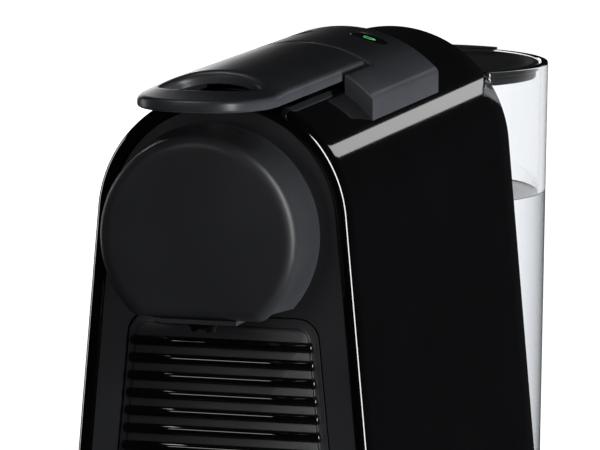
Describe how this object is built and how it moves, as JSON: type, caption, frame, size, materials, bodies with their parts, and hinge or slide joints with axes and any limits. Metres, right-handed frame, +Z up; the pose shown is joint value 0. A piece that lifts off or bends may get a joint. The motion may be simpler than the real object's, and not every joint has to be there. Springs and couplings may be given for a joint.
{
  "type": "pod coffee machine",
  "caption": "Arched pod coffee machine with a round brew head, lift-up lever, press buttons, slide-out capsule container and drip tray, and a lift-off water tank.",
  "frame": {"origin": "on the surface the machine stands on, under the middle of its outer box", "axes": "-Y is the front with the brew head, +Z is up, +X is the viewer's right from the front"},
  "size_m": [0.1092, 0.325, 0.2045],
  "materials": {
    "gloss_black": "high gloss black moulded plastic",
    "lever_charcoal": "satin charcoal",
    "satin_black": "satin black plastic",
    "dark_plastic": "fine textured dark plastic",
    "clear_tank": "clear moulded plastic",
    "steel": "bright steel",
    "cast_aluminium": "cast aluminium",
    "brass_fitting": "turned brass",
    "rubber_black": "black rubber",
    "silicone_red": "red silicone",
    "hose_white": "translucent silicone",
    "pump_cream": "glass filled plastic",
    "coil_dark": "moulded coil",
    "board_green": "circuit board",
    "rotor_blue": "blue plastic",
    "led_green": "green indicator lens"
  },
  "bodies": {
    "body": {"body_shell": "gloss_black", "front_panel": "satin_black", "rear_panel": "dark_plastic", "base_plate": "dark_plastic", "rubber_feet": "rubber_black", "base_screws": "steel", "panel_screws": "steel", "head_ring": "satin_black", "head_cover": "satin_black", "brew_head": "dark_plastic", "coffee_outlet": "satin_black", "outlet_nozzle": "gloss_black", "perforated_plate": "steel", "brew_frame": "dark_plastic", "frame_screws": "steel", "hinge_pin": "steel", "control_cover": "lever_charcoal", "control_board": "board_green", "tact_switches": "coil_dark", "status_leds": "led_green", "inner_bulkhead": "dark_plastic", "thermoblock": "cast_aluminium", "thermal_fuses": "pump_cream", "thermoblock_ports": "brass_fitting", "pump_body": "pump_cream", "pump_coil": "coil_dark", "pump_mounts": "rubber_black", "flow_meter_body": "pump_cream", "flow_meter_cap": "pump_cream", "power_board": "board_green", "board_parts": "coil_dark", "suction_hose": "hose_white", "pressure_hose": "hose_white", "tank_dock": "dark_plastic", "dock_spigot": "brass_fitting", "dock_seal": "silicone_red", "cord_gland": "dark_plastic", "pump_spring": "steel"},
    "lever": {"lever_cover": "lever_charcoal", "lever_frame": "dark_plastic", "crank_pin": "steel"},
    "link": {"link_arms": "dark_plastic"},
    "cage": {"capsule_cage": "dark_plastic", "cage_stem": "steel", "injector_plate": "steel", "cage_pin": "steel", "cage_seal": "silicone_red", "brew_hose": "hose_white"},
    "espresso_button": {"espresso_button": "gloss_black"},
    "lungo_button": {"lungo_button": "gloss_black"},
    "piston": {"pump_piston": "steel"},
    "rotor": {"flow_meter_rotor": "rotor_blue"},
    "drip_unit": {"drip_tray": "satin_black", "capsule_container": "dark_plastic", "container_front": "satin_black"},
    "drip_grid": {"drip_grid": "satin_black"},
    "tank": {"water_tank": "clear_tank", "tank_valve": "pump_cream"},
    "tank_lid": {"tank_lid": "satin_black"}
  },
  "joints": [
    {"name": "lever_hinge", "type": "hinge", "parent": "body", "child": "lever", "pos_m": [0, -0.031, 0.194], "axis": [-1, 0, 0], "range_deg": [0, 80]},
    {"name": "link_pivot", "type": "hinge", "parent": "lever", "child": "link", "pos_m": [0, -0.03969, 0.19633], "axis": [-1, 0, 0], "range_deg": [-104, 0]},
    {"name": "cage_slide", "type": "slide", "parent": "body", "child": "cage", "axis": [0, 1, 0], "range_m": [0, 0.0269], "deforming": ["brew_hose"]},
    {"name": "espresso_press", "type": "slide", "parent": "body", "child": "espresso_button", "axis": [0, 0, -1], "range_m": [0, 0.0012], "stiffness_N_per_m": 400},
    {"name": "lungo_press", "type": "slide", "parent": "body", "child": "lungo_button", "axis": [0, 0, -1], "range_m": [0, 0.0012], "stiffness_N_per_m": 400},
    {"name": "piston_stroke", "type": "slide", "parent": "body", "child": "piston", "axis": [0, -1, 0], "range_m": [0, 0.004], "stiffness_N_per_m": 900, "deforming": ["pump_spring"]},
    {"name": "rotor_spin", "type": "hinge", "parent": "body", "child": "rotor", "pos_m": [0.024, 0.068, 0.03], "axis": [0, 0, 1], "continuous": true},
    {"name": "drip_unit_slide", "type": "slide", "parent": "body", "child": "drip_unit", "axis": [0, -1, 0], "range_m": [0, 0.1]},
    {"name": "drip_grid_lift", "type": "slide", "parent": "drip_unit", "child": "drip_grid", "axis": [0, 0, 1], "range_m": [0, 0.012]},
    {"name": "tank_lift", "type": "slide", "parent": "body", "child": "tank", "axis": [0, 0, 1], "range_m": [0, 0.06]},
    {"name": "tank_lid_lift", "type": "slide", "parent": "tank", "child": "tank_lid", "axis": [0, 0, 1], "range_m": [0, 0.03]}
  ],
  "couplings": [
    {"joint": "cage_slide", "follows": "lever_hinge", "m_per_rad": 0.019266},
    {"joint": "link_pivot", "follows": "lever_hinge", "ratio": -1.3}
  ]
}
